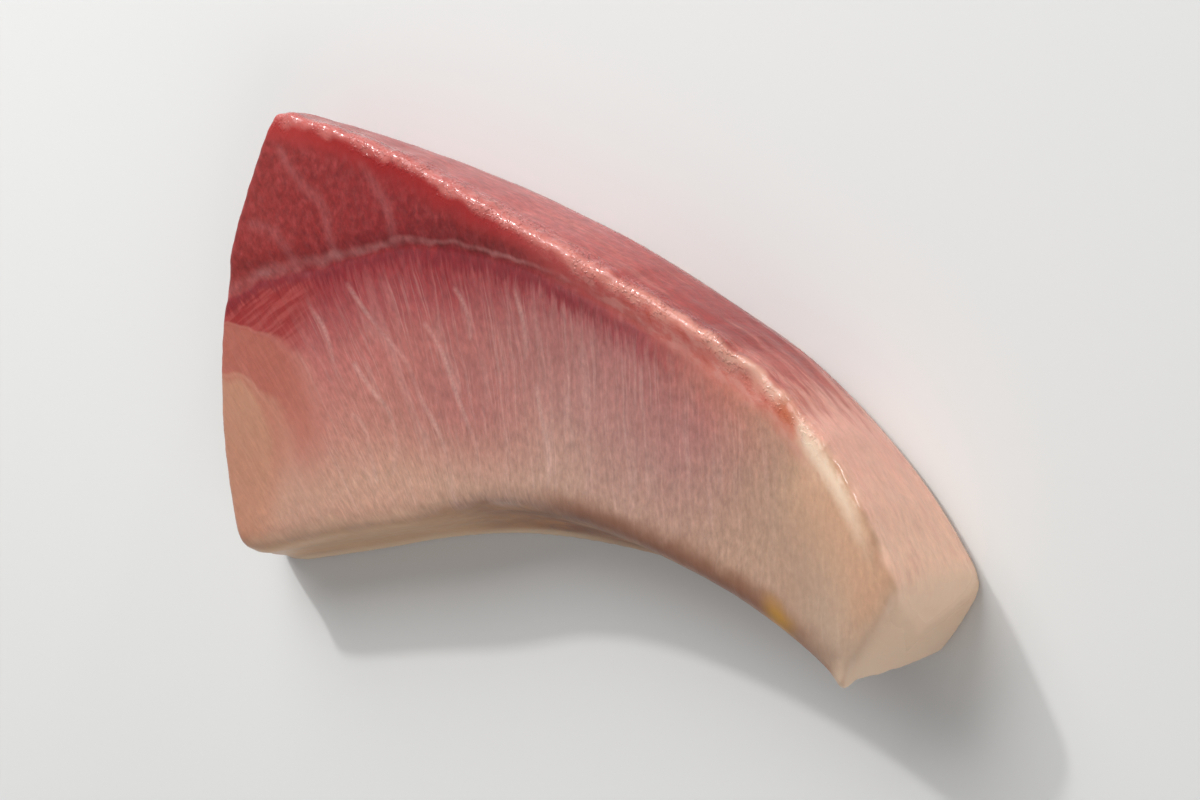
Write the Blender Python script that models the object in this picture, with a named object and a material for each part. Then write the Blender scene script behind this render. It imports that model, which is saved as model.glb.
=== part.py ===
"""One thick slice of yellowtail sashimi, lying on its flat back with the other cut face up.

The cut face is a patch between four sides: the skin side, the belly cavity's side, the cut through
the loin and the narrow cut at the tip. Its outline is drawn in millimetres in the slice's own plane.
The finished slice is in metres, centred over the origin, with its back on z = 0.
"""

import math

import bmesh
import bpy
import numpy as np
from mathutils import Vector, noise

MM = 0.001

# Outline of the cut face, as stations that a smooth line runs through on each side.
FACE_CAVITY_SIDE = (
    (-33.3, -21.4),
    (-23.1, -16.2),
    (-13.1, -11.7),
    (-2.1, -6.3),
    (6.9, -4.9),
    (17.9, -4.9),
    (27.9, -5.8),
    (38.7, -8.9),
)
FACE_SKIN_SIDE = (
    (-40.7, 21.2),
    (-28.1, 21.5),
    (-13.1, 20.0),
    (1.9, 18.0),
    (15.9, 15.9),
    (24.9, 13.8),
    (33.9, 8.9),
    (42.7, 0.7),
)
FACE_LOIN_CUT = ((-33.3, -21.4), (-39.4, -10.0), (-42.7, 4.0), (-42.0, 14.2), (-40.7, 21.2))
FACE_TIP_CUT = ((38.7, -8.9), (40.8, -4.4), (42.7, 0.7))

# Outline of the back, whose hollow is shallower and whose tip is narrower.
BACK_CAVITY_SIDE = (
    (-33.9, -22.4),
    (-23.1, -17.5),
    (-13.1, -12.9),
    (-5.1, -10.2),
    (2.9, -8.4),
    (12.9, -6.9),
    (24.9, -5.3),
    (40.8, -5.9),
)
BACK_SKIN_SIDE = (
    (-40.7, 20.2),
    (-29.1, 20.7),
    (-19.1, 20.7),
    (-8.1, 20.0),
    (1.9, 18.8),
    (11.9, 16.8),
    (20.9, 14.6),
    (28.9, 11.3),
    (35.9, 7.4),
    (43.5, 1.4),
)
BACK_LOIN_CUT = ((-33.9, -22.4), (-39.8, -10.6), (-43.1, 3.4), (-42.1, 13.4), (-40.7, 20.2))
BACK_TIP_CUT = ((40.8, -5.9), (42.4, -2.4), (43.5, 1.4))

# Rounding of the outline's four corners.
LOIN_FOOT_RADIUS = 2.4
LOIN_APEX_RADIUS = 1.5
TIP_HEEL_RADIUS = 1.0
TIP_SHOULDER_RADIUS = 1.5

# The slice is cut as a wedge, thinner at the loin.
THICKNESS_AT_LOIN = 8.0
THICKNESS_AT_TIP = 11.8

# Rounding of the edges of the two cut faces, and the share of the width where the cavity's ends.
EDGE_RADIUS = 0.6
CAVITY_EDGE_RADIUS = 1.9
CAVITY_EDGE_TO = 0.3
BACK_EDGE_RADIUS = 0.5

# How far the sides swell out, or in at the cavity, between the two faces.
WALL_BULGE = 0.3

# Relief of the soft flesh.
MUSCLE_SEAM = ((-42.1, 3.6), (-33.1, 7.5), (-19.1, 13.4), (-2.1, 15.1), (13.9, 13.4), (26.9, 12.0))
SEAM_FADES_FROM = 21.0
SEAM_DEPTH = 0.25
SEAM_WIDTH = 1.2
DARK_MUSCLE_RISE = 0.35
DARK_MUSCLE_BLEND = 2.5
BODY_DISH = 0.3
FLESH_WAVE = 0.22
FLESH_WAVELENGTH = 9.0
FLESH_WAVE_SEED = 1.7
RIDGE_TEAR = 0.35
RIDGE_TEAR_WAVELENGTH = 3.2
RIDGE_TEAR_SEED = 4.2

# Share of the width past which the skin side's tear begins.
RIDGE_TEAR_FROM = 0.75

# Fineness of the mesh.
COLUMNS = 58
ROWS = 26
EDGE_STEPS = 3
WALL_STEPS = 4
BACK_EDGE_STEPS = 2
SEAM_SAMPLES = 80
SHARP_ANGLE = math.radians(40)
TINY = 1e-9

FLESH_COLOUR = (0.42, 0.18, 0.155, 1.0)
FLESH_ROUGHNESS = 0.35


def clear_scene():
    for item in list(bpy.data.objects):
        bpy.data.objects.remove(item, do_unlink=True)


def smooth_line(stations):
    """Return a function of 0 to 1 that gives the points of a smooth line through the stations."""
    points = np.array(stations, dtype=float)
    steps = np.linalg.norm(np.diff(points, axis=0), axis=1)
    knots = np.concatenate(([0.0], np.cumsum(steps))) / steps.sum()
    slopes = np.gradient(points, knots, axis=0, edge_order=2)

    def point_at(t):
        t = np.asarray(t, dtype=float)
        span = np.clip(np.searchsorted(knots, t, side="right") - 1, 0, len(knots) - 2)
        size = knots[span + 1] - knots[span]
        s = ((t - knots[span]) / size)[:, None]
        start, end = points[span], points[span + 1]
        start_slope = slopes[span] * size[:, None]
        end_slope = slopes[span + 1] * size[:, None]
        return (
            start * (2 * s**3 - 3 * s**2 + 1)
            + start_slope * (s**3 - 2 * s**2 + s)
            + end * (3 * s**2 - 2 * s**3)
            + end_slope * (s**3 - s**2)
        )

    return point_at


def smooth_step(low, high, value):
    t = np.clip((value - low) / (high - low), 0.0, 1.0)
    return t * t * (3 - 2 * t)


def make_patch(cavity_stations, skin_stations, loin_stations, tip_stations):
    """Return a function of 0 to 1 from loin to tip and 0 to 1 from cavity to skin that gives points."""
    cavity_side = smooth_line(cavity_stations)
    skin_side = smooth_line(skin_stations)
    loin_cut = smooth_line(loin_stations)
    tip_cut = smooth_line(tip_stations)

    def point_at(along, across):
        u, v = along[:, None], across[:, None]
        ruled = (1 - v) * cavity_side(along) + v * skin_side(along)
        crossed = (1 - u) * loin_cut(across) + u * tip_cut(across)
        loin_end = (1 - v) * np.array(cavity_stations[0]) + v * np.array(skin_stations[0])
        tip_end = (1 - v) * np.array(cavity_stations[-1]) + v * np.array(skin_stations[-1])
        return ruled + crossed - (1 - u) * loin_end - u * tip_end

    return point_at


face_patch = make_patch(FACE_CAVITY_SIDE, FACE_SKIN_SIDE, FACE_LOIN_CUT, FACE_TIP_CUT)
back_patch = make_patch(BACK_CAVITY_SIDE, BACK_SKIN_SIDE, BACK_LOIN_CUT, BACK_TIP_CUT)


def patch_size(along, across):
    """Return the cut face's length through each point and its width there, in millimetres."""
    loin_end, tip_end = np.zeros_like(along), np.ones_like(along)
    ends = face_patch(tip_end, across) - face_patch(loin_end, across)
    edges = face_patch(along, tip_end) - face_patch(along, loin_end)
    return np.linalg.norm(ends, axis=1), np.linalg.norm(edges, axis=1)


def round_corner(from_end, from_edge, radius):
    """Pull the points near a square corner in to a round one, given as distances from both sides."""
    near = (from_end < radius) & (from_edge < radius)
    out_end = radius - from_end
    out_edge = radius - from_edge
    square = np.maximum(np.abs(out_end), np.abs(out_edge))
    pull = square / np.maximum(np.hypot(out_end, out_edge), TINY)
    return (
        np.where(near, radius - out_end * pull, from_end),
        np.where(near, radius - out_edge * pull, from_edge),
    )


def inset_place(along, across, end_inset, skin_inset, cavity_inset):
    """Return places on the patch whose sides are moved in by the insets, with round corners."""
    length, width = patch_size(along, across)
    from_loin = end_inset + along * (length - 2 * end_inset)
    from_cavity = cavity_inset + across * (width - skin_inset - cavity_inset)
    from_tip = length - from_loin
    from_skin = width - from_cavity
    from_loin, from_cavity = round_corner(from_loin, from_cavity, LOIN_FOOT_RADIUS)
    from_loin, from_skin = round_corner(from_loin, from_skin, LOIN_APEX_RADIUS)
    from_tip, from_cavity = round_corner(from_tip, from_cavity, TIP_HEEL_RADIUS)
    from_tip, from_skin = round_corner(from_tip, from_skin, TIP_SHOULDER_RADIUS)
    u = np.where(along < 0.5, from_loin, length - from_tip) / length
    v = np.where(across < 0.5, from_cavity, width - from_skin) / width
    return u, v


def noise_at(points, wavelength, seed):
    return np.array([noise.noise(Vector((x / wavelength, y / wavelength, seed))) for x, y in points])


def face_height(points, along, across):
    """Return the height of the cut face: a wedge with the relief of its muscles."""
    x, y = points[:, 0], points[:, 1]
    loin_x, tip_x = FACE_LOIN_CUT[2][0], FACE_TIP_CUT[-1][0]
    wedge = THICKNESS_AT_LOIN + (THICKNESS_AT_TIP - THICKNESS_AT_LOIN) * (x - loin_x) / (tip_x - loin_x)
    seam = smooth_line(MUSCLE_SEAM)(np.linspace(0, 1, SEAM_SAMPLES))
    over_seam = y - np.interp(x, seam[:, 0], seam[:, 1])
    seam_end = 1 - smooth_step(SEAM_FADES_FROM, MUSCLE_SEAM[-1][0], x)
    crease = SEAM_DEPTH * np.exp(-((over_seam / SEAM_WIDTH) ** 2)) * seam_end
    rise = DARK_MUSCLE_RISE * smooth_step(0, DARK_MUSCLE_BLEND, over_seam) * seam_end
    dish = BODY_DISH * np.sin(math.pi * along) * np.sin(math.pi * across)
    wave = FLESH_WAVE * noise_at(points, FLESH_WAVELENGTH, FLESH_WAVE_SEED)
    return wedge + rise - crease - dish + wave


def edge_radius(across):
    """Return the rounding of the cut face's rim: soft where it turns down into the cavity."""
    on_cavity = 1 - smooth_step(0.0, CAVITY_EDGE_TO, across)
    return EDGE_RADIUS + (CAVITY_EDGE_RADIUS - EDGE_RADIUS) * on_cavity


def place(vertices, layers, inset_share, drop_share, wall_share, back_share):
    """Move vertices to one ring of the slice, or to its cut face, by their place on the patch.

    The inset and the drop are shares of the edge's radius, the wall's is the share of the way down
    it, and the back's is the share of the back edge's rounding.
    """
    along = np.array([vertex[layers[0]] for vertex in vertices])
    across = np.array([vertex[layers[1]] for vertex in vertices])
    turn_in = BACK_EDGE_RADIUS * (1 - math.cos(back_share * math.pi / 2))
    bulge = WALL_BULGE * math.sin(math.pi * wall_share) if back_share == 0 else 0.0
    end_inset = EDGE_RADIUS * inset_share + turn_in - bulge
    distances = np.stack((along * patch_size(along, across)[0], across), axis=1)
    tear = RIDGE_TEAR * noise_at(distances, RIDGE_TEAR_WAVELENGTH, RIDGE_TEAR_SEED)
    skin_inset = end_inset + tear * smooth_step(RIDGE_TEAR_FROM, 1.0, across) * (1 - wall_share)
    cavity_inset = CAVITY_EDGE_RADIUS * inset_share + turn_in + bulge
    u, v = inset_place(along, across, end_inset, skin_inset, cavity_inset)
    face = face_patch(u, v)
    top = face_height(face, along, across) - edge_radius(across) * drop_share
    height = top + (BACK_EDGE_RADIUS - top) * wall_share
    height = height - BACK_EDGE_RADIUS * math.sin(back_share * math.pi / 2)
    depth = ((top - height) / top)[:, None]
    points = (1 - depth) * face + depth * back_patch(u, v)
    for vertex, (x, y), z in zip(vertices, points, height):
        vertex.co = (x * MM, y * MM, z * MM)


def wall_rings():
    """Yield the shares that place each ring, from the cut face's rim down to the back."""
    for step in range(1, EDGE_STEPS + 1):
        turn = math.pi / 2 * step / EDGE_STEPS
        yield 1 - math.sin(turn), 1 - math.cos(turn), 0.0, 0.0
    for step in range(1, WALL_STEPS + 1):
        yield 0.0, 1.0, step / WALL_STEPS, 0.0
    for step in range(1, BACK_EDGE_STEPS + 1):
        yield 0.0, 1.0, 1.0, step / BACK_EDGE_STEPS


def centre_over_origin(mesh_data):
    corners = np.array([vertex.co for vertex in mesh_data.verts])
    middle = (corners.min(axis=0) + corners.max(axis=0)) / 2
    bmesh.ops.translate(mesh_data, verts=mesh_data.verts, vec=(-middle[0], -middle[1], 0))


def make_slice():
    mesh_data = bmesh.new()
    bmesh.ops.create_grid(mesh_data, x_segments=COLUMNS, y_segments=ROWS, size=0.5)
    layers = (mesh_data.verts.layers.float.new("along"), mesh_data.verts.layers.float.new("across"))
    for vertex in mesh_data.verts:
        vertex[layers[0]] = vertex.co.x + 0.5
        vertex[layers[1]] = vertex.co.y + 0.5
    rim = [edge for edge in mesh_data.edges if edge.is_boundary]
    place(mesh_data.verts, layers, 1.0, 0.0, 0.0, 0.0)
    for shares in wall_rings():
        made = bmesh.ops.extrude_edge_only(mesh_data, edges=rim)["geom"]
        place([item for item in made if isinstance(item, bmesh.types.BMVert)], layers, *shares)
        rim = [item for item in made if isinstance(item, bmesh.types.BMEdge) and item.is_boundary]
    bmesh.ops.contextual_create(mesh_data, geom=rim)
    bmesh.ops.recalc_face_normals(mesh_data, faces=mesh_data.faces)
    centre_over_origin(mesh_data)
    mesh = bpy.data.meshes.new("sashimi_slice")
    mesh_data.to_mesh(mesh)
    mesh_data.free()
    mesh.shade_smooth()
    mesh.set_sharp_from_angle(angle=SHARP_ANGLE)
    return mesh


def flesh_material():
    material = bpy.data.materials.new("yellowtail flesh")
    material.use_nodes = True
    shader = material.node_tree.nodes["Principled BSDF"]
    shader.inputs["Base Color"].default_value = FLESH_COLOUR
    shader.inputs["Roughness"].default_value = FLESH_ROUGHNESS
    shader.inputs["Metallic"].default_value = 0.0
    return material


clear_scene()
slice_mesh = make_slice()
slice_mesh.materials.append(flesh_material())
sashimi_slice = bpy.data.objects.new("sashimi_slice", slice_mesh)
bpy.context.scene.collection.objects.link(sashimi_slice)
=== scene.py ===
"""Looks of one thick slice of yellowtail sashimi, lying on its flat back with the other cut face up.

The slice's lines are drawn in millimetres in its own plane: x from the loin cut to the tip, y from the
belly cavity to the skin side. MM turns them into the scene's metres.
"""

import math

import bpy
import numpy as np
from mathutils import Matrix, Vector, noise


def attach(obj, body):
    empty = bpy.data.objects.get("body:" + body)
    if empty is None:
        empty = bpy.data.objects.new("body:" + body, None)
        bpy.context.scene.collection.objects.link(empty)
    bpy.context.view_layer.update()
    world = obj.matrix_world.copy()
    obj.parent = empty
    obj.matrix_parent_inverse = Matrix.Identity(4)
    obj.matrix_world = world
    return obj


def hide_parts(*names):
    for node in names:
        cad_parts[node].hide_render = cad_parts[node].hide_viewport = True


MM = 0.001

# Sides of the slice, as stations that a smooth line runs through.
FACE_CAVITY_SIDE = (
    (-33.3, -21.4),
    (-23.1, -16.2),
    (-13.1, -11.7),
    (-2.1, -6.3),
    (6.9, -4.9),
    (17.9, -4.9),
    (27.9, -5.8),
    (38.7, -8.9),
)
FACE_SKIN_SIDE = (
    (-40.7, 21.2),
    (-28.1, 21.5),
    (-13.1, 20.0),
    (1.9, 18.0),
    (15.9, 15.9),
    (24.9, 13.8),
    (33.9, 8.9),
    (42.7, 0.7),
)
BACK_CAVITY_SIDE = (
    (-33.9, -22.4),
    (-23.1, -17.5),
    (-13.1, -12.9),
    (-5.1, -10.2),
    (2.9, -8.4),
    (12.9, -6.9),
    (24.9, -5.3),
    (40.8, -5.9),
)
BACK_SKIN_SIDE = (
    (-40.7, 20.2),
    (-29.1, 20.7),
    (-19.1, 20.7),
    (-8.1, 20.0),
    (1.9, 18.8),
    (11.9, 16.8),
    (20.9, 14.6),
    (28.9, 11.3),
    (35.9, 7.4),
    (43.5, 1.4),
)
FACE_LOIN_CUT = ((-33.3, -21.4), (-39.4, -10.0), (-42.7, 4.0), (-42.0, 14.2), (-40.7, 21.2))
FACE_TIP_CUT = ((38.7, -8.9), (40.8, -4.4), (42.7, 0.7))
LOIN_X = -42.7
TIP_X = 42.7
THICKNESS_AT_LOIN = 8.0
THICKNESS_AT_TIP = 11.8

# Lines of the muscles on the cut face.
MUSCLE_SEAM = (
    (-44.5, 0.2),
    (-41.3, 2.6),
    (-37.6, 5.3),
    (-31.5, 8.0),
    (-25.7, 10.9),
    (-19.5, 13.4),
    (-13.2, 14.6),
    (-4.7, 15.2),
    (2.9, 14.8),
    (9.1, 14.0),
    (15.4, 13.4),
    (22.1, 12.6),
    (28.5, 10.2),
    (35.0, 5.6),
    (42.5, -1.4),
)
OUTER_LOBE = (
    (-44.0, -1.0),
    (-36.1, 0.2),
    (-31.0, -0.8),
    (-27.8, -3.1),
    (-25.8, -6.1),
    (-24.8, -9.7),
    (-25.0, -15.0),
)
INNER_LOBE = (
    (-43.5, -6.2),
    (-35.8, -4.9),
    (-32.2, -6.6),
    (-29.8, -9.0),
    (-28.6, -12.1),
    (-28.4, -17.0),
)
UPPER_LINES = (
    ((-40.3, 9.9), (-37.7, 10.1), (-35.2, 8.9), (-33.6, 7.4)),
    ((-38.6, 17.6), (-34.5, 15.2), (-31.6, 14.0), (-30.1, 11.7), (-28.8, 9.6)),
    ((-28.4, 19.8), (-25.2, 17.6), (-23.1, 15.9), (-21.9, 13.0)),
)
LONGEST_FAT_LINE = (
    (-26.7, 7.8),
    (-23.8, 6.1),
    (-20.0, 4.3),
    (-17.3, 3.1),
    (-14.3, 0.2),
    (-11.3, -2.0),
    (-9.0, -4.7),
    (-7.6, -7.4),
)
FAT_LINES = (
    LONGEST_FAT_LINE,
    ((-23.7, 0.9), (-20.9, -0.7), (-17.7, -2.3), (-16.5, -4.2), (-15.8, -7.2)),
    ((-13.1, 11.1), (-11.1, 9.5), (-10.1, 7.4)),
    ((-7.0, 14.1), (-5.4, 12.4), (-3.8, 9.9), (-3.0, 7.6)),
    ((-15.8, 7.0), (-13.2, 5.2), (-10.9, 2.6), (-8.7, 0.4), (-6.5, -1.7), (-5.3, -4.0)),
    ((-1.1, 5.5), (0.3, 3.2), (1.8, 1.1), (3.2, -3.0)),
    ((-32.0, 6.1), (-30.8, 4.4), (-28.8, 3.2), (-26.5, 0.4)),
    ((-22.5, -3.7), (-21.0, -4.2), (-19.3, -6.2), (-17.6, -8.6)),
)

# How far the layers wander sideways, from which depth to which the wandering grows, and its lengths.
LAYER_DRIFT = 4.0
DRIFT_DEPTHS = (0.5, 5.0)
DRIFT_SIZE = (16.0, 5.0, 1.0)
DRIFT_SEED = 0.7

# How the muscle fibres fan out from the seam down to the cavity.
FIBRE_TILT = math.radians(16.7)
FIBRE_TOP = 10.5
FIBRE_REACH = 18.5
LEAN_AT_LOIN = 15.0
LEAN_AT_TIP = 1.0
LEAN_MIDDLE = -17.0
LEAN_SPREAD = 7.5
LEAN_STEPS = 8

# Mesh of the slice: its cell size, and its rounds of smoothing all over and at the softest edges. The
# cavity's edge gets a share of the latter. The smoothing of an edge grows between two heights and fades
# between two distances from the edge, and the tip's corner gets none below the first of two y values.
VOXEL = 0.32
SOFTENING = 6
EDGE_SOFTENING = 130
CAVITY_EDGE_SHARE = 0.25
SOFT_HEIGHTS = (2.5, 5.0)
TIP_SOFT_REACH = (1.5, 4.5)
CAVITY_SOFT_REACH = (1.0, 3.5)
SHARP_CORNER_Y = (-8.6, -6.0)
LEAST_WEIGHT = 0.01
MERGE_DISTANCE = 1e-6

# How far each part of the relief stands out or sinks in, the lengths that it varies over, where it lies
# and between which distances or depths it fades.
LIP_INSET = 0.4
LIP_WIDTH = 0.7
LIP_DEPTH = 1.1
LIP_BUMPS = 0.22
LIP_BUMP_SIZE = (1.3, 1.5, 2.0)
FINE_LIP_BUMPS = 0.08
FINE_LIP_BUMP_SIZE = (0.7, 0.9, 0.9)
SEAM_GROOVE = 0.10
SEAM_GROOVE_WIDTH = 0.35
SEAM_GROOVE_FADE = (8.0, 20.0)
FIBRE_RIDGES = 0.05
FIBRE_RIDGE_SIZE = (0.9, 9.0, 9.0)
SKIN_STREAKS = 0.10
SKIN_STREAK_SIZE = (8.0, 1.6, 4.0)
SKIN_STREAK_FADE = (0.5, 1.2)
LINING_FOLDS = 0.16
LINING_FOLD_SIZE = (14.0, 1.3, 5.0)
LINING_FOLD_FADE = (0.8, 2.0)
LINING_FOLD_DEPTHS = (1.0, 2.0)
SHADED_RELIEF = 0.15

# Corners that the knife left sharper than the plain solid: a place, a pull and how far the pull spreads.
PULLS = (
    ((39.0, -9.0, 10.8), (0.4, -1.3, 0.1), 1.3),
    ((-35.5, -22.4, 0.5), (-1.5, -0.6, 0.0), 3.5),
    ((-34.5, -21.9, 8.2), (-0.4, -0.5, 0.1), 1.6),
)

# Colours, as linear red, green, blue and alpha.
ROSE = (0.34, 0.115, 0.104, 1.0)
SALMON = (0.49, 0.190, 0.134, 1.0)
TIP_BEIGE = (0.42, 0.265, 0.185, 1.0)
TIP_CREAM = (0.47, 0.355, 0.265, 1.0)
SKINWARD_CREAM = (0.555, 0.325, 0.208, 1.0)
PATCH = (0.28, 0.022, 0.020, 1.0)
PATCH_STROKES = (0.37, 0.060, 0.052, 1.0)
OUTER_LOBE_TAN = (0.395, 0.130, 0.090, 1.0)
OUTER_LOBE_EDGE = (0.50, 0.210, 0.160, 1.0)
INNER_LOBE_TAN = (0.46, 0.230, 0.145, 1.0)
INNER_LOBE_EDGE = (0.52, 0.280, 0.190, 1.0)
FAT = (0.60, 0.38, 0.33, 1.0)
UPPER_MOTTLE = (0.33, 0.060, 0.060, 1.0)
UPPER_LINE = (0.42, 0.15, 0.145, 1.0)
UNDER_SEAM = (0.175, 0.010, 0.015, 1.0)
SEAM_LINE = (0.42, 0.16, 0.15, 1.0)
RIM_FAT = (0.62, 0.300, 0.250, 1.0)
RIM_TORN = (0.42, 0.060, 0.036, 1.0)
RIM_END = (0.46, 0.110, 0.045, 1.0)
SKIN_FAT = (0.56, 0.22, 0.18, 1.0)
TIP_STREAK = (0.84, 0.640, 0.480, 1.0)
# Painted light: the tip's end face lightened to cream, as if it were as brightly lit as the face.
TIP_END_PAINTED_LIGHT = (0.74, 0.540, 0.390, 1.0)
LINING_DARK = (0.200, 0.068, 0.028, 1.0)
LINING_LIGHT = (0.36, 0.160, 0.068, 1.0)
LINING_LINE = (0.14, 0.055, 0.032, 1.0)
LINING_AT_LOIN = (0.60, 0.375, 0.220, 1.0)
LINING_LOWER_EDGE = (0.66, 0.49, 0.34, 1.0)
# Painted shade, partly the lining's own brown rim: the dark band along the cavity's edge from the middle
# on.
CAVITY_EDGE_LINING_AND_SHADE = (0.20, 0.080, 0.045, 1.0)
# Painted light: the pale band along the cavity's edge at the loin, which lifts the shade of its rounding.
CAVITY_EDGE_LIGHT_AT_LOIN = (0.60, 0.390, 0.260, 1.0)
STAIN = (0.46, 0.230, 0.035, 1.0)
FLOOR = (0.70, 0.70, 0.69, 1.0)

# Colours of the pale muscle by the distance over the seam, near the loin cut and from the middle on.
LOIN_SHADES = (
    (-21.0, (0.47, 0.265, 0.190)),
    (-15.0, (0.44, 0.182, 0.142)),
    (-10.0, (0.42, 0.140, 0.120)),
    (-5.5, (0.335, 0.080, 0.076)),
    (-2.8, (0.275, 0.040, 0.043)),
    (-1.0, (0.215, 0.015, 0.019)),
    (0.0, (0.215, 0.012, 0.016)),
)
MIDDLE_SHADES = (
    (-18.0, (0.44, 0.280, 0.208)),
    (-10.0, (0.38, 0.190, 0.160)),
    (-5.5, (0.365, 0.152, 0.134)),
    (-3.0, (0.345, 0.125, 0.114)),
    (-1.2, (0.265, 0.055, 0.056)),
    (0.0, (0.245, 0.040, 0.043)),
)

# Colours by the distance along the slice.
UPPER_SHADES = (
    (-42.0, (0.245, 0.026, 0.023)),
    (-34.0, (0.235, 0.020, 0.020)),
    (-22.0, (0.220, 0.016, 0.018)),
    (-10.0, (0.180, 0.014, 0.014)),
    (2.0, (0.240, 0.034, 0.034)),
    (12.0, (0.350, 0.085, 0.075)),
    (22.0, (0.46, 0.125, 0.095)),
)
RIM_SHADES = (
    (-42.0, (0.38, 0.034, 0.031)),
    (-26.0, (0.305, 0.012, 0.012)),
    (-10.0, (0.325, 0.022, 0.022)),
    (2.0, (0.44, 0.078, 0.072)),
    (12.0, (0.52, 0.135, 0.110)),
    (24.0, (0.57, 0.185, 0.138)),
    (28.5, (0.60, 0.230, 0.155)),
    (30.0, (0.66, 0.370, 0.260)),
    (32.5, (0.74, 0.500, 0.370)),
)
SKIN_SHADES = (
    (-44.0, (0.30, 0.070, 0.070)),
    (-26.0, (0.36, 0.092, 0.088)),
    (-6.0, (0.41, 0.108, 0.102)),
    (6.0, (0.33, 0.046, 0.041)),
    (18.0, (0.26, 0.024, 0.020)),
    (25.0, (0.43, 0.106, 0.083)),
    (30.0, (0.74, 0.370, 0.290)),
    (42.0, (0.84, 0.540, 0.390)),
)
# The pale lip: partly its own pale pink, partly a painted highlight along the rounded skin edge.
LIP_AND_HIGHLIGHT_SHADES = (
    (-42.0, (0.52, 0.150, 0.135)),
    (-10.0, (0.56, 0.185, 0.160)),
    (14.0, (0.62, 0.270, 0.210)),
    (27.0, (0.72, 0.450, 0.340)),
    (42.0, (0.72, 0.500, 0.370)),
)

# Camera: the photograph's direction and distance.
CAMERA_AT = (0.208687, 0.070352, 0.266347)
CAMERA_AIM = (0.006893, 0.006576, 0.010207)
CAMERA_DOWN = (0.286575, -0.957973, 0.012752)
CAMERA_LENS = 113.9
SENSOR_WIDTH = 36.0
CLIP_START = 0.01

# Lights: a name, the direction towards it, its distance and width in metres, and its power in watts.
LIGHTS = (
    ("key light", (-0.45, 0.65, 0.62), 0.6, 0.5, 3.1),
    ("fill light", (0.85, -0.40, 0.35), 0.8, 0.6, 2.0),
    ("glint light", (-0.60, 0.57, 0.55), 0.6, 0.03, 1.5),
    ("edge light", (0.24, 0.95, 0.14), 0.6, 0.05, 0.35),
)
WORLD_STRENGTH = 0.30
FLOOR_WIDTH = 6.0
FLOOR_HEIGHT = -0.05 * MM


# Lines and distances in the slice's plane.

def smooth_line(stations, samples=120):
    """Return points along a smooth line through the stations."""
    points = np.array(stations, dtype=float)
    steps = np.linalg.norm(np.diff(points, axis=0), axis=1)
    knots = np.concatenate(([0.0], np.cumsum(steps))) / steps.sum()
    slopes = np.gradient(points, knots, axis=0, edge_order=2)
    t = np.linspace(0, 1, samples)
    span = np.clip(np.searchsorted(knots, t, side="right") - 1, 0, len(knots) - 2)
    size = knots[span + 1] - knots[span]
    s = ((t - knots[span]) / size)[:, None]
    start_slope = slopes[span] * size[:, None]
    end_slope = slopes[span + 1] * size[:, None]
    return (
        points[span] * (2 * s**3 - 3 * s**2 + 1)
        + start_slope * (s**3 - 2 * s**2 + s)
        + points[span + 1] * (3 * s**2 - 2 * s**3)
        + end_slope * (s**3 - s**2)
    )


def side_at(stations, x):
    """Return a side's y at each x, running straight on past its two ends."""
    line = smooth_line(stations)
    start_slope = (line[1, 1] - line[0, 1]) / (line[1, 0] - line[0, 0])
    end_slope = (line[-1, 1] - line[-2, 1]) / (line[-1, 0] - line[-2, 0])
    inner = np.interp(x, line[:, 0], line[:, 1])
    before = np.minimum(x - line[0, 0], 0.0) * start_slope
    after = np.maximum(x - line[-1, 0], 0.0) * end_slope
    return inner + before + after


def gap_over(x, y, stations):
    """Return the distance from the line, above zero to the left of its direction."""
    line = smooth_line(stations, 60)
    nearest = np.full(x.shape, np.inf)
    side = np.ones(x.shape)
    for (ax, ay), (bx, by) in zip(line[:-1], line[1:]):
        dx, dy = bx - ax, by - ay
        t = np.clip(((x - ax) * dx + (y - ay) * dy) / (dx * dx + dy * dy), 0.0, 1.0)
        reach = np.hypot(x - ax - t * dx, y - ay - t * dy)
        closer = reach < nearest
        nearest = np.where(closer, reach, nearest)
        side = np.where(closer, np.sign(dx * (y - ay) - dy * (x - ax)), side)
    return nearest * side


def smooth_step(low, high, value):
    """Return 0 below the low value and 1 above the high one, with a smooth rise between."""
    t = np.clip((value - low) / (high - low), 0.0, 1.0)
    return t * t * (3 - 2 * t)


def bell(value, middle, width):
    """Return 1 at the middle, falling off smoothly on both sides."""
    return np.exp(-(((value - middle) / width) ** 2))


def noise_at(values, sizes):
    """Return smooth noise from -1 to 1 at each point, which varies over the given size in each value."""
    scaled = [value / size for value, size in zip(values, sizes)]
    return np.array([noise.noise(Vector(place)) for place in zip(*scaled)])


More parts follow.
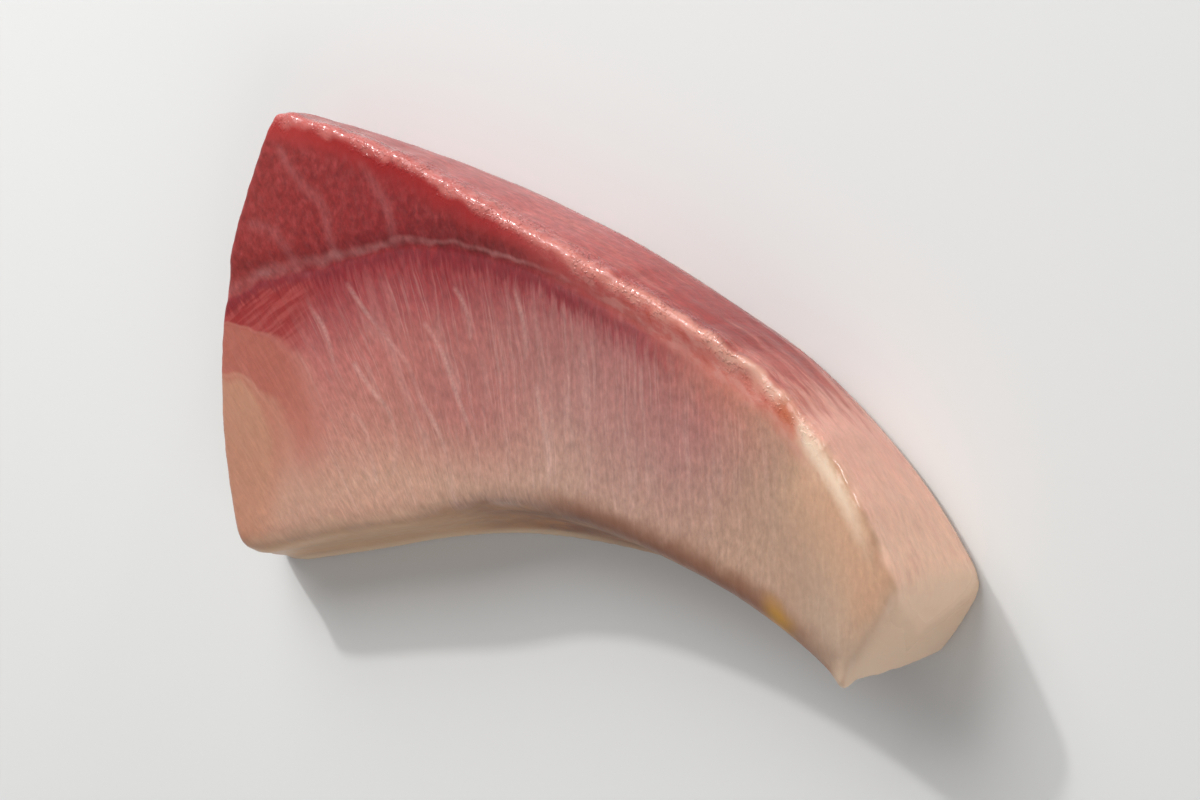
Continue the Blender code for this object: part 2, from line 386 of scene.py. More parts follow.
class SlicePlaces:
    """Where each point of the slice lies among its muscles, in millimetres."""

    def __init__(self, points):
        x, y, z = points.T / MM
        slope = (THICKNESS_AT_TIP - THICKNESS_AT_LOIN) / (TIP_X - LOIN_X)
        top = THICKNESS_AT_LOIN + slope * (x - LOIN_X)
        self.height = z
        self.depth = np.maximum(top - z, 0.0)
        share = np.clip(self.depth / top, 0.0, 1.0)
        face_cavity = side_at(FACE_CAVITY_SIDE, x)
        face_skin = side_at(FACE_SKIN_SIDE, x)
        cavity = (1 - share) * face_cavity + share * side_at(BACK_CAVITY_SIDE, x)
        skin = (1 - share) * face_skin + share * side_at(BACK_SKIN_SIDE, x)
        across = (y - cavity) / (skin - cavity)
        self.x = x
        self.y = face_cavity + across * (face_skin - face_cavity)
        self.inside_skin = -gap_over(self.x, self.y, FACE_SKIN_SIDE)
        self.from_cavity = gap_over(self.x, self.y, FACE_CAVITY_SIDE)
        self.from_tip = gap_over(self.x, self.y, FACE_TIP_CUT)
        from_loin = np.maximum(-gap_over(self.x, self.y, FACE_LOIN_CUT), 0.0)
        self.edge_depth = np.minimum(np.minimum(self.depth, np.maximum(z, 0.0)), from_loin)
        drift = LAYER_DRIFT * smooth_step(*DRIFT_DEPTHS, self.depth)
        drift_places = (x, self.depth, np.full(x.shape, DRIFT_SEED))
        self.layer_y = self.y + drift * noise_at(drift_places, DRIFT_SIZE)
        self.over_seam = gap_over(self.x, self.layer_y, MUSCLE_SEAM)
        self.outer_lobe = -gap_over(self.x, self.layer_y, OUTER_LOBE)
        self.inner_lobe = -gap_over(self.x, self.layer_y, INNER_LOBE)
        self.upper_line = self.nearest_of(UPPER_LINES)
        self.fat_line = self.nearest_of(FAT_LINES)
        self.fibre, self.run = self.along_fibres()

    def nearest_of(self, lines):
        """Return the distance from the nearest of the lines."""
        return np.min([np.abs(gap_over(self.x, self.layer_y, line)) for line in lines], axis=0)

    def along_fibres(self):
        """Return which fibre a point is on, and how far down the fibre it is."""
        sideways = self.x * math.cos(FIBRE_TILT) + self.y * math.sin(FIBRE_TILT)
        upwards = self.y * math.cos(FIBRE_TILT) - self.x * math.sin(FIBRE_TILT)
        down = (FIBRE_TOP - upwards) / FIBRE_REACH
        fibre = sideways
        for _ in range(LEAN_STEPS):
            tipward = 1 + np.exp((fibre - LEAN_MIDDLE) / LEAN_SPREAD)
            lean = LEAN_AT_TIP + (LEAN_AT_LOIN - LEAN_AT_TIP) / tipward
            fibre = 0.5 * fibre + 0.5 * (sideways - lean * down)
        return fibre, FIBRE_TOP - upwards


# The slice's mesh.

def copy_of_solid():
    """Return a copy of the plain solid with its doubled vertices merged."""
    bpy.ops.object.select_all(action="DESELECT")
    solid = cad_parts["sashimi_slice"]
    piece = bpy.data.objects.new("sashimi_flesh", solid.data.copy())
    bpy.context.scene.collection.objects.link(piece)
    bpy.context.view_layer.objects.active = piece
    piece.select_set(True)
    bpy.ops.object.mode_set(mode="EDIT")
    bpy.ops.mesh.select_all(action="SELECT")
    bpy.ops.mesh.remove_doubles(threshold=MERGE_DISTANCE)
    bpy.ops.mesh.normals_make_consistent(inside=False)
    bpy.ops.object.mode_set(mode="OBJECT")
    return piece


def soften(piece, iterations, group_name=""):
    """Smooth the whole piece, or only its vertex group."""
    smooth = piece.modifiers.new("soften", "SMOOTH")
    smooth.factor = 0.5
    smooth.iterations = iterations
    smooth.vertex_group = group_name
    bpy.ops.object.modifier_apply(modifier=smooth.name)


def refine(piece):
    """Give the piece an even fine mesh, softened as flesh is, most at the tip's edges and the cavity's."""
    remesh = piece.modifiers.new("fine mesh", "REMESH")
    remesh.mode = "VOXEL"
    remesh.voxel_size = VOXEL * MM
    bpy.ops.object.modifier_apply(modifier=remesh.name)
    soften(piece, SOFTENING)
    points = read_points(piece.data)
    places = SlicePlaces(points)
    high = smooth_step(*SOFT_HEIGHTS, points[:, 2] / MM)
    near_tip = 1 - smooth_step(*TIP_SOFT_REACH, np.abs(places.from_tip))
    at_tip = near_tip * smooth_step(*SHARP_CORNER_Y, places.y)
    cavity_gap = np.abs(places.from_cavity) + places.depth * 0.5
    at_cavity = (1 - smooth_step(*CAVITY_SOFT_REACH, cavity_gap)) * CAVITY_EDGE_SHARE
    group = piece.vertex_groups.new(name="soft edges")
    for index, weight in enumerate(np.maximum(at_tip, at_cavity) * high):
        if weight > LEAST_WEIGHT:
            group.add([index], weight, "REPLACE")
    soften(piece, EDGE_SOFTENING, group.name)
    piece.vertex_groups.clear()


def read_points(mesh):
    points = np.empty(len(mesh.vertices) * 3, dtype=np.float32)
    mesh.vertices.foreach_get("co", points)
    return points.reshape(-1, 3).astype(float)


def read_normals(mesh):
    normals = np.empty(len(mesh.vertices) * 3, dtype=np.float32)
    mesh.vertex_normals.foreach_get("vector", normals)
    return normals.reshape(-1, 3).astype(float)


def relief_height(places, upward):
    """How far each vertex moves out: bumps on the lip, a groove at the seam, fibres, streaks and folds."""
    lip_near = bell(places.inside_skin, LIP_INSET, LIP_WIDTH) * bell(places.depth, 0.0, LIP_DEPTH)
    near_skin = (places.x, places.depth, places.inside_skin)
    lip = lip_near * noise_at(near_skin, LIP_BUMP_SIZE)
    fine_lip = lip_near * noise_at(near_skin, FINE_LIP_BUMP_SIZE)
    before_tip = 1 - smooth_step(*SEAM_GROOVE_FADE, places.x)
    seam = bell(places.over_seam, 0.0, SEAM_GROOVE_WIDTH) * upward * before_tip
    fibres = noise_at((places.fibre, places.run, places.depth), FIBRE_RIDGE_SIZE) * upward
    below_lip = smooth_step(*SKIN_STREAK_FADE, places.depth)
    on_skin = below_lip * (1 - smooth_step(*SKIN_STREAK_FADE, places.inside_skin))
    streaks = noise_at(near_skin, SKIN_STREAK_SIZE) * on_skin
    near_cavity = 1 - smooth_step(*LINING_FOLD_FADE, places.from_cavity)
    on_cavity = near_cavity * smooth_step(*LINING_FOLD_DEPTHS, places.depth)
    folds = noise_at((places.x, places.depth, places.from_cavity), LINING_FOLD_SIZE) * on_cavity
    return (
        LIP_BUMPS * lip
        + FINE_LIP_BUMPS * fine_lip
        - SEAM_GROOVE * seam
        + FIBRE_RIDGES * fibres
        + SKIN_STREAKS * streaks
        + LINING_FOLDS * folds
    )


def carve(piece):
    """Move the surface along its normals by the relief, then pull out the sharp corners."""
    mesh = piece.data
    points = read_points(mesh)
    normals = read_normals(mesh)
    upward = smooth_step(0.3, 0.8, normals[:, 2])
    height = relief_height(SlicePlaces(points), upward) * smooth_step(0.0, 1.0, points[:, 2] / MM)
    moved = points + normals * height[:, None] * MM
    for corner, pull, spread in PULLS:
        reach = np.linalg.norm(points / MM - np.array(corner), axis=1)
        moved += bell(reach, 0.0, spread)[:, None] * np.array(pull) * MM
    moved[:, 2] = np.maximum(moved[:, 2], 0.0)
    mesh.vertices.foreach_set("co", moved.astype(np.float32).ravel())
    mesh.update()


def write_places(piece):
    """Store where each vertex lies among the muscles, for the material to read."""
    mesh = piece.data
    places = SlicePlaces(read_points(mesh))
    stored = {
        "layers": (places.over_seam, places.inside_skin, places.from_cavity),
        "lobes": (places.outer_lobe, places.inner_lobe, places.upper_line),
        "grain": (places.fibre, places.run, places.depth),
        "face_place": (places.x, places.y, places.edge_depth),
        "ends": (places.from_tip, places.height, places.fat_line),
    }
    for name, values in stored.items():
        attribute = mesh.attributes.new(name, "FLOAT_VECTOR", "POINT")
        attribute.data.foreach_set("vector", np.stack(values, axis=1).astype(np.float32).ravel())


# Nodes of the material.

class Wiring:
    """Adds nodes to one material, each fed by sockets or plain values."""

    def __init__(self, tree):
        self.tree = tree

    def feed(self, socket, value):
        if isinstance(value, bpy.types.NodeSocket):
            self.tree.links.new(value, socket)
        else:
            socket.default_value = value

    def calculate(self, operation, first, second=0.0, third=0.0):
        node = self.tree.nodes.new("ShaderNodeMath")
        node.operation = operation
        for socket, value in zip(node.inputs, (first, second, third)):
            self.feed(socket, value)
        return node.outputs[0]

    def add(self, first, second):
        return self.calculate("ADD", first, second)

    def less(self, first, second):
        return self.calculate("SUBTRACT", first, second)

    def both(self, first, second):
        """The product, which is also where two masks overlap."""
        return self.calculate("MULTIPLY", first, second)

    def larger(self, first, second):
        return self.calculate("MAXIMUM", first, second)

    def scaled(self, value, factor, offset):
        """The value times the factor, plus the offset."""
        return self.calculate("MULTIPLY_ADD", value, factor, offset)

    def rise(self, value, low, high):
        """A mask that rises smoothly from 0 to 1 while the value goes from low to high."""
        node = self.tree.nodes.new("ShaderNodeMapRange")
        node.interpolation_type = "SMOOTHSTEP"
        self.feed(node.inputs["Value"], value)
        self.feed(node.inputs["From Min"], low)
        self.feed(node.inputs["From Max"], high)
        return node.outputs[0]

    def band(self, value, middle, width):
        """A mask that is 1 at the middle and fades out over the width on both sides."""
        off = self.calculate("ABSOLUTE", self.less(value, middle))
        return self.less(1.0, self.rise(off, 0.0, width))

    def mix(self, mask, under, over):
        node = self.tree.nodes.new("ShaderNodeMix")
        node.data_type = "RGBA"
        self.feed(node.inputs[0], mask)
        self.feed(node.inputs[6], under)
        self.feed(node.inputs[7], over)
        return node.outputs[2]

    def tint(self, under, over, mask, share):
        """The colour under the mask turned towards another one, at most by the share."""
        return self.mix(self.both(mask, share), under, over)

    def brighten(self, colour, factor):
        node = self.tree.nodes.new("ShaderNodeVectorMath")
        node.operation = "SCALE"
        self.feed(node.inputs[0], colour)
        self.feed(node.inputs["Scale"], factor)
        return node.outputs[0]

    def shade(self, value, stops):
        """A colour ramp: each stop is a place in the value's own unit and a colour."""
        low, high = stops[0][0], stops[-1][0]
        span = self.tree.nodes.new("ShaderNodeMapRange")
        self.feed(span.inputs["Value"], value)
        span.inputs["From Min"].default_value = low
        span.inputs["From Max"].default_value = high
        ramp = self.tree.nodes.new("ShaderNodeValToRGB")
        self.tree.links.new(span.outputs[0], ramp.inputs[0])
        elements = ramp.color_ramp.elements
        while len(elements) < len(stops):
            elements.new(0.5)
        for element, (place, colour) in zip(elements, stops):
            element.position = (place - low) / (high - low)
            element.color = (*colour, 1.0)
        return ramp.outputs[0]

    def attribute(self, name):
        """The three values of a stored attribute."""
        node = self.tree.nodes.new("ShaderNodeAttribute")
        node.attribute_name = name
        split = self.tree.nodes.new("ShaderNodeSeparateXYZ")
        self.tree.links.new(node.outputs["Vector"], split.inputs[0])
        return split.outputs[0], split.outputs[1], split.outputs[2]

    def speckle(self, places, lengths, detail=2.0, roughness=0.5, seed=0.0):
        """Noise from 0 to 1 that varies over the given length along each place value."""
        join = self.tree.nodes.new("ShaderNodeCombineXYZ")
        for socket, place, length in zip(join.inputs, places, lengths):
            self.feed(socket, self.scaled(place, 1 / length, seed))
        node = self.tree.nodes.new("ShaderNodeTexNoise")
        self.tree.links.new(join.outputs[0], node.inputs["Vector"])
        node.inputs["Scale"].default_value = 1.0
        node.inputs["Detail"].default_value = detail
        node.inputs["Roughness"].default_value = roughness
        return node.outputs[0]

    def hairlines(self, places, lengths, thin, seed=0.0):
        """Thin lines where stretched noise crosses its middle."""
        waves = self.speckle(places, lengths, detail=1.0, roughness=0.4, seed=seed)
        return self.band(waves, 0.5, thin)


# Places and patterns that the colours are made from.

def read_places(wires):
    """The stored distances, the shared patterns, and the distances round the skin's and cavity's edges."""
    place = {}
    place["over_seam"], place["inside_skin"], place["from_cavity"] = wires.attribute("layers")
    place["outer_lobe"], place["inner_lobe"], place["upper_line"] = wires.attribute("lobes")
    place["fibre"], place["run"], place["depth"] = wires.attribute("grain")
    place["x"], place["y"], place["edge_depth"] = wires.attribute("face_place")
    place["from_tip"], place["height"], place["fat_line"] = wires.attribute("ends")
    place["inside"] = (place["x"], place["y"], place["depth"])
    place["along_side"] = (place["x"], place["depth"], place["y"])
    place["cloud"] = wires.speckle(place["inside"], (6.0, 6.0, 6.0), detail=3.0, roughness=0.55)
    place["mottle"] = wires.speckle(place["inside"], (1.1, 1.1, 1.1), detail=4.0, roughness=0.6, seed=3.0)
    place["drift"] = wires.speckle(place["inside"], (2.6, 2.6, 2.6), detail=1.0, roughness=0.5, seed=7.0)
    straight = (place["fibre"], place["run"], place["depth"])
    waves = wires.speckle(straight, (3.0, 5.0, 6.0), seed=13.0)
    wavy_fibre = wires.scaled(waves, 0.8, place["fibre"])
    along_fibre = (wavy_fibre, place["run"], place["depth"])
    place["along_fibre"] = along_fibre
    place["comb"] = wires.speckle(along_fibre, (0.45, 5.0, 7.0), detail=3.0, roughness=0.6, seed=5.0)
    wobble = wires.scaled(place["drift"], 1.8, -0.9)
    place["steady_skin"] = wires.less(place["inside_skin"], place["edge_depth"])
    place["to_skin"] = wires.add(place["steady_skin"], wobble)
    place["to_cavity"] = wires.add(wires.less(place["from_cavity"], place["edge_depth"]), wobble)
    place["patch"] = wires.both(
        wires.rise(place["x"], -29.0, -34.0), wires.rise(place["over_seam"], -0.3, -1.2)
    )
    place["calm"] = calm_places(wires, place)
    return place


def calm_places(wires, place):
    """A mask of the parts with little grain: the lobes and the dark patch at the loin cut, and the tip."""
    in_lobes = wires.both(wires.rise(place["outer_lobe"], -1.0, 1.0), wires.rise(place["y"], -19.0, -10.0))
    at_tip = wires.rise(place["x"], 24.0, 34.0)
    return wires.larger(wires.larger(in_lobes, at_tip), place["patch"])


def fibre_lines(wires, place):
    """A mask of the pale lines of fat between the fibres: close and faint, and a few long ones."""
    fibres = place["along_fibre"]
    close = wires.hairlines(fibres, (0.75, 26.0, 30.0), thin=0.07, seed=1.0)
    long_lines = wires.hairlines(fibres, (2.2, 60.0, 60.0), thin=0.022, seed=7.0)
    patches = wires.rise(wires.speckle(fibres, (1.8, 7.0, 9.0), seed=11.0), 0.36, 0.66)
    faint = wires.both(wires.both(close, patches), 0.20)
    clear = wires.larger(wires.both(long_lines, 0.6), wires.rise(place["fat_line"], 0.45, 0.05))
    strong = wires.both(wires.both(clear, wires.scaled(patches, 0.6, 0.4)), 0.40)
    below = wires.rise(place["over_seam"], -0.8, -4.0)
    lines = wires.both(wires.larger(faint, strong), below)
    return wires.both(lines, wires.scaled(place["calm"], -0.85, 1.0))


# Colours of the flesh.

def body_colour(wires, place):
    """The pale muscle below the seam: rose under the seam, beige at the cavity, cream at the tip."""
    reach = wires.scaled(wires.rise(place["over_seam"], -8.0, -1.0), 5.5, 1.5)
    teeth = wires.both(wires.less(place["comb"], 0.5), reach)
    clouds = wires.scaled(place["cloud"], 3.0, -1.5)
    below_seam = wires.add(wires.add(place["over_seam"], teeth), clouds)
    loinward = wires.shade(below_seam, LOIN_SHADES)
    middle = wires.shade(below_seam, MIDDLE_SHADES)
    body = wires.mix(wires.rise(place["x"], -17.0, 6.0), loinward, middle)
    rosy = wires.both(wires.band(place["x"], -9.0, 14.0), wires.band(place["over_seam"], -13.5, 8.5))
    body = wires.tint(body, ROSE, rosy, 0.7)
    salmon = wires.both(wires.rise(place["x"], 8.0, 22.0), wires.rise(place["inside_skin"], 9.0, 2.5))
    body = wires.tint(body, SALMON, salmon, 0.8)

    slant = wires.add(place["x"], wires.both(place["inside_skin"], 0.35))
    tipward = wires.rise(wires.add(slant, clouds), 20.0, 33.0)
    body = wires.mix(tipward, body, TIP_BEIGE)
    body = wires.tint(body, TIP_CREAM, wires.rise(place["x"], 31.0, 38.0), 0.6)
    creamy = wires.both(wires.rise(slant, 28.5, 33.0), wires.rise(place["inside_skin"], 9.0, 2.0))
    return wires.mix(creamy, body, SKINWARD_CREAM)


def with_loin_end(wires, place, body):
    """Lay the dark patch of short strokes and the two rounded lobes over the muscle at the loin cut."""
    across = wires.less(place["x"], place["y"])
    along = wires.add(place["x"], place["y"])
    strokes = wires.speckle((across, along, place["depth"]), (0.8, 7.0, 4.0), seed=15.0)
    stroked = wires.mix(wires.rise(strokes, 0.4, 0.6), PATCH, PATCH_STROKES)
    body = wires.tint(body, stroked, place["patch"], 0.8)

    spread = wires.scaled(wires.rise(place["x"], -37.0, -27.0), 5.0, 1.0)
    mottled = wires.scaled(place["drift"], 1.4, -0.7)
    fading = wires.rise(place["y"], -13.0, -5.0)
    outer = wires.calculate("DIVIDE", wires.add(place["outer_lobe"], mottled), spread)
    ring = wires.both(wires.rise(outer, -0.3, 0.5), fading)
    body = wires.tint(body, OUTER_LOBE_TAN, ring, 0.8)
    at_loin = wires.both(fading, wires.rise(place["x"], -24.0, -31.0))
    body = wires.tint(body, OUTER_LOBE_EDGE, wires.both(wires.band(outer, 0.0, 0.35), at_loin), 0.35)
    inner = wires.calculate("DIVIDE", wires.add(place["inner_lobe"], mottled), spread)
    body = wires.tint(body, INNER_LOBE_TAN, wires.rise(inner, -0.3, 1.0), 0.85)
    inner_edge = wires.both(wires.band(inner, 0.0, 0.4), wires.rise(place["x"], -27.0, -32.0))
    return wires.tint(body, INNER_LOBE_EDGE, inner_edge, 0.35)


def upper_colour(wires, place):
    """The dark muscle between the seam and the skin, with its faint pale lines."""
    dark = wires.shade(wires.add(place["x"], wires.scaled(place["cloud"], 12.0, -6.0)), UPPER_SHADES)
    dark = wires.tint(dark, UPPER_MOTTLE, wires.rise(place["mottle"], 0.40, 0.75), 0.35)
    woven = wires.speckle(place["inside"], (0.55, 0.8, 1.0), detail=3.0, roughness=0.65, seed=16.0)
    dark = wires.brighten(dark, wires.scaled(woven, 0.9, 0.55))
    soft_line = wires.both(wires.band(place["upper_line"], 0.0, 1.0), place["comb"])
    return wires.tint(dark, UPPER_LINE, soft_line, 0.42)


def with_seam(wires, place, flesh):
    """Lay the dark muscle over the seam, the dark teeth under it and the pale line along it."""
    shifted_seam = wires.add(place["over_seam"], wires.scaled(place["drift"], 1.2, -0.6))
    above_seam = wires.both(wires.rise(shifted_seam, -0.4, 0.2), wires.rise(place["x"], 30.0, 24.0))
    flesh = wires.mix(above_seam, flesh, upper_colour(wires, place))
    toothed = wires.both(wires.less(place["comb"], 0.5), 3.5)
    under_seam = wires.band(wires.add(shifted_seam, toothed), -0.8, 1.2)
    under_seam = wires.both(under_seam, wires.rise(shifted_seam, 0.2, -0.3))
    under_seam = wires.both(under_seam, wires.rise(place["x"], 11.0, -2.0))
    flesh = wires.tint(flesh, UNDER_SEAM, under_seam, 0.8)
    width = wires.scaled(wires.rise(place["x"], -20.0, -36.0), 0.6, 0.45)
    off_line = wires.calculate("DIVIDE", wires.less(shifted_seam, 0.55), width)
    seam_line = wires.both(wires.band(off_line, 0.0, 1.0), wires.rise(place["x"], 27.0, 16.0))
    uneven = wires.scaled(wires.rise(place["cloud"], 0.35, 0.65), 0.40, 0.22)
    uneven = wires.both(uneven, wires.scaled(place["mottle"], 1.2, 0.4))
    return wires.tint(flesh, SEAM_LINE, seam_line, uneven)


def with_grain(wires, place, flesh):
    """Vary the brightness along the fibres, less in the calm parts."""
    fine = wires.speckle(place["along_fibre"], (0.42, 0.9, 1.6), detail=3.0, roughness=0.65, seed=8.0)
    grainy = wires.both(wires.scaled(place["comb"], 0.36, 0.82), wires.scaled(fine, 0.84, 0.58))
    grainy = wires.both(grainy, wires.scaled(place["mottle"], 0.4, 0.8))
    evened = wires.both(wires.both(place["calm"], 0.55), wires.less(1.0, grainy))
    return wires.brighten(flesh, wires.add(grainy, evened))


def rim_colour(wires, place):
    """The torn red rim just inside the skin, orange towards the tip, with pale blobs of fat in it."""
    rim = wires.shade(wires.add(place["x"], wires.scaled(place["mottle"], 4.0, -2.0)), RIM_SHADES)
    blob_places = (place["x"], place["inside_skin"], place["depth"])
    blobs = wires.speckle(blob_places, (2.4, 1.0, 2.0), detail=3.0, roughness=0.6, seed=14.0)
    pale = wires.both(wires.rise(blobs, 0.46, 0.62), wires.rise(place["x"], -8.0, 10.0))
    rim = wires.tint(rim, RIM_FAT, pale, 0.55)
    torn = wires.both(wires.rise(blobs, 0.46, 0.34), wires.rise(place["x"], -8.0, 10.0))
    return wires.tint(rim, RIM_TORN, torn, 0.5)


def skin_colour(wires, place):
    """The skin side: rose with long fatty streaks, cream towards the tip."""
    streaky = wires.speckle(place["along_side"], (9.0, 1.3, 4.0), detail=3.0, roughness=0.55, seed=4.0)
    skin = wires.shade(wires.add(place["x"], wires.scaled(streaky, 16.0, -8.0)), SKIN_SHADES)
    skin = wires.tint(skin, SKIN_FAT, wires.rise(streaky, 0.50, 0.72), 0.30)
    flecks = wires.speckle(place["along_side"], (1.1, 0.4, 1.1), detail=3.0, roughness=0.65, seed=12.0)
    strength = wires.scaled(wires.rise(place["x"], 16.0, 32.0), -1.1, 1.5)
    varied = wires.both(wires.less(flecks, 0.5), strength)
    return wires.brighten(skin, wires.add(varied, 1.0))


def with_skin_side(wires, place, flesh):
    """Lay the rim, the pale lip (partly a painted highlight), the skin side and the pale streak near the
    tip over the flesh.
    """
    rim = wires.both(wires.rise(place["to_skin"], 3.7, 1.6), wires.rise(place["x"], 34.0, 28.5))
    flesh = wires.tint(flesh, rim_colour(wires, place), rim, 0.9)
    # The pale lip is partly its own colour and partly a painted highlight.
    lip = wires.both(wires.rise(place["to_skin"], 1.6, 0.5), wires.rise(place["x"], 35.0, 26.0))
    flesh = wires.tint(flesh, wires.shade(place["x"], LIP_AND_HIGHLIGHT_SHADES), lip, 0.8)
    flesh = wires.mix(wires.rise(place["to_skin"], 0.4, -0.8), flesh, skin_colour(wires, place))
    near_edge = wires.scaled(place["mottle"], 0.9, place["steady_skin"])
    streak = wires.both(wires.band(near_edge, 1.6, 1.2), wires.rise(place["x"], 28.0, 30.5))
    streak = wires.both(streak, wires.rise(place["x"], 40.5, 34.0))
    return wires.tint(flesh, TIP_STREAK, streak, 0.9)


def lining_colour(wires, place):
    """The belly lining in the hollow side: a brownish skin with soft patches and a few thin brown lines."""
    folds = wires.speckle(place["along_side"], (5.0, 2.2, 3.0), detail=4.0, roughness=0.6, seed=9.0)
    lining = wires.mix(wires.rise(folds, 0.30, 0.70), LINING_DARK, LINING_LIGHT)
    brown_lines = wires.hairlines(place["along_side"], (9.0, 2.6, 6.0), thin=0.03, seed=2.0)
    lining = wires.tint(lining, LINING_LINE, brown_lines, 0.45)
    lining = wires.brighten(lining, wires.scaled(place["mottle"], 0.7, 0.65))
    lining = wires.tint(lining, LINING_AT_LOIN, wires.rise(place["x"], 2.0, -16.0), 0.75)
    pale_edge = wires.both(wires.rise(place["height"], 2.4, 0.8), wires.rise(place["x"], 20.0, -4.0))
    return wires.tint(lining, LINING_LOWER_EDGE, pale_edge, 0.8)


def with_cavity_side(wires, place, flesh):
    """Lay the cavity's edge (painted shade mixed with the lining's brown from the middle on, painted light
    at the loin), its lining and a small stain.
    """
    off_the_tip = wires.rise(place["from_tip"], 0.4, 2.0)
    hollow = wires.both(wires.rise(place["x"], -2.0, 8.0), wires.rise(place["x"], 44.0, 26.0))
    # Painted shade along the cavity's edge from the middle on, partly the lining's brown rim.
    lining_and_shade = wires.both(wires.both(wires.rise(place["to_cavity"], 3.5, 1.0), hollow), off_the_tip)
    flesh = wires.tint(flesh, CAVITY_EDGE_LINING_AND_SHADE, lining_and_shade, 0.85)
    # Painted light along the cavity's edge at the loin, lifting the shade where the edge rounds away.
    at_loin = wires.both(wires.rise(place["to_cavity"], 2.2, 0.8), wires.rise(place["x"], -6.0, -14.0))
    flesh = wires.tint(flesh, CAVITY_EDGE_LIGHT_AT_LOIN, at_loin, 0.45)
    on_lining = wires.both(wires.rise(place["to_cavity"], 0.6, -0.8), off_the_tip)
    flesh = wires.mix(on_lining, flesh, lining_colour(wires, place))
    stain = wires.both(wires.band(place["x"], 31.3, 2.8), wires.rise(place["to_cavity"], 3.0, 1.4))
    stain = wires.both(stain, wires.rise(place["depth"], 2.5, 0.8))
    return wires.tint(flesh, STAIN, stain, 0.8)


def flesh_colour(wires, place):
    """All the slice's colours, laid one over the other from the muscles out to the edges."""
    flesh = with_loin_end(wires, place, body_colour(wires, place))
    flesh = wires.mix(fibre_lines(wires, place), flesh, FAT)
    flesh = with_seam(wires, place, flesh)
    flesh = with_grain(wires, place, flesh)
    flesh = with_skin_side(wires, place, flesh)
    flesh = with_cavity_side(wires, place, flesh)
    rim_end = wires.both(wires.band(place["x"], 27.2, 1.9), wires.band(place["inside_skin"], 1.1, 1.5))
    flesh = wires.tint(flesh, RIM_END, rim_end, 0.8)
    # Painted light: the tip's end face lightened to cream.
    return wires.tint(flesh, TIP_END_PAINTED_LIGHT, wires.rise(place["from_tip"], 2.0, -0.6), 0.75)


def wet_relief(wires, place, shader):
    """Fine relief of the fibres, and the beads of moisture along the skin's edge, which is shinier."""
    near_skin = wires.rise(wires.calculate("ABSOLUTE", place["to_skin"]), 2.4, 0.4)
    roughness = wires.both(wires.scaled(place["mottle"], 0.25, 0.30), wires.scaled(near_skin, -0.65, 1.0))
    wires.feed(shader.inputs["Roughness"], roughness)
    fibres = wires.speckle(place["along_fibre"], (0.4, 4.0, 4.0), seed=2.0)
    beads = wires.speckle(place["inside"], (0.38, 0.38, 0.38), detail=1.0, roughness=0.5, seed=6.0)
    beads = wires.both(wires.rise(beads, 0.50, 0.70), near_skin)
    beads = wires.both(beads, wires.rise(place["cloud"], 0.36, 0.56))
    beads = wires.both(beads, wires.rise(place["x"], 34.0, 26.0))
    bump = wires.tree.nodes.new("ShaderNodeBump")
    bump.inputs["Strength"].default_value = 0.65
    bump.inputs["Distance"].default_value = SHADED_RELIEF * MM
    wires.feed(bump.inputs["Height"], wires.scaled(beads, 0.9, wires.both(fibres, 0.32)))
    wires.feed(shader.inputs["Normal"], bump.outputs[0])


def flesh_material():
    material = bpy.data.materials.new("yellowtail flesh")
    material.use_nodes = True
    shader = material.node_tree.nodes["Principled BSDF"]
    wires = Wiring(material.node_tree)
    place = read_places(wires)
    wires.feed(shader.inputs["Base Color"], flesh_colour(wires, place))
    wet_relief(wires, place, shader)
    shader.inputs["IOR"].default_value = 1.38
    shader.inputs["Subsurface Weight"].default_value = 0.15
    shader.inputs["Subsurface Radius"].default_value = (1.0, 0.35, 0.25)
    shader.inputs["Subsurface Scale"].default_value = 1.0 * MM
    shader.inputs["Coat Weight"].default_value = 0.16
    shader.inputs["Coat Roughness"].default_value = 0.06
    shader.inputs["Coat IOR"].default_value = 1.34
    return material


def make_flesh():
    """Make the detailed slice that stands for the plain solid."""
    piece = copy_of_solid()
    refine(piece)
    carve(piece)
    write_places(piece)
    piece.data.materials.clear()
    piece.data.materials.append(flesh_material())
    bpy.ops.object.shade_smooth()
    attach(piece, "root")
    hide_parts("sashimi_slice")


# The floor, lights, world and camera.

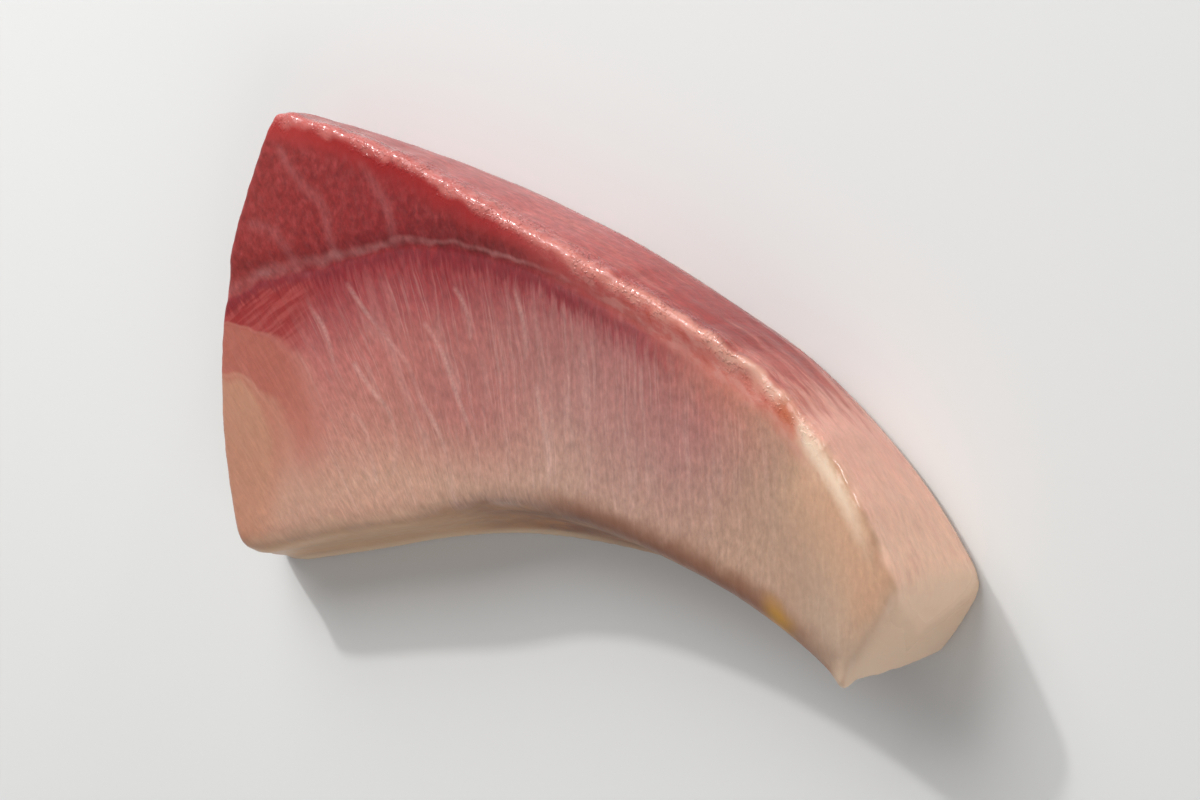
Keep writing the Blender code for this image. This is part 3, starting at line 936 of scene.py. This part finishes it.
def make_floor():
    bpy.ops.object.select_all(action="DESELECT")
    bpy.ops.mesh.primitive_plane_add(size=FLOOR_WIDTH, location=(0.0, 0.0, FLOOR_HEIGHT))
    floor = bpy.context.active_object
    floor.name = "floor"
    material = bpy.data.materials.new("pale floor")
    material.use_nodes = True
    shader = material.node_tree.nodes["Principled BSDF"]
    shader.inputs["Base Color"].default_value = FLOOR
    shader.inputs["Roughness"].default_value = 0.9
    floor.data.materials.append(material)


def make_light(name, direction, distance, width, power):
    """Add a square soft light that looks at the slice from a direction."""
    data = bpy.data.lights.new(name, "AREA")
    data.size = width
    data.energy = power
    light = bpy.data.objects.new(name, data)
    bpy.context.scene.collection.objects.link(light)
    towards = Vector(direction).normalized()
    light.location = towards * distance
    light.rotation_mode = "QUATERNION"
    light.rotation_quaternion = towards.to_track_quat("Z", "Y")


def make_world():
    world = bpy.data.worlds.new("studio")
    bpy.context.scene.world = world
    world.use_nodes = True
    background = world.node_tree.nodes["Background"]
    background.inputs["Color"].default_value = (1.0, 1.0, 1.0, 1.0)
    background.inputs["Strength"].default_value = WORLD_STRENGTH


def make_camera():
    data = bpy.data.cameras.new("camera")
    data.lens = CAMERA_LENS
    data.sensor_width = SENSOR_WIDTH
    data.clip_start = CLIP_START
    camera = bpy.data.objects.new("camera", data)
    bpy.context.scene.collection.objects.link(camera)
    forward = (Vector(CAMERA_AIM) - Vector(CAMERA_AT)).normalized()
    right = Vector(CAMERA_DOWN).cross(forward).normalized()
    up = right.cross(forward)
    turn = Matrix((right, up, -forward)).transposed()
    camera.matrix_world = Matrix.Translation(CAMERA_AT) @ turn.to_4x4()
    bpy.context.scene.camera = camera


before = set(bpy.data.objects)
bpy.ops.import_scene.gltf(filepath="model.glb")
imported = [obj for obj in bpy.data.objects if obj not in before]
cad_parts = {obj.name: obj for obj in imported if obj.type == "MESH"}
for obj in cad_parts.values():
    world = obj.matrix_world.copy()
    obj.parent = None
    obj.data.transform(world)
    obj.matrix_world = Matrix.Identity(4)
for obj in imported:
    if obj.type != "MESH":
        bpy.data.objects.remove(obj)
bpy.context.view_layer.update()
make_flesh()
make_floor()
for light in LIGHTS:
    make_light(*light)
make_world()
make_camera()
bpy.context.scene.view_settings.view_transform = "Standard"
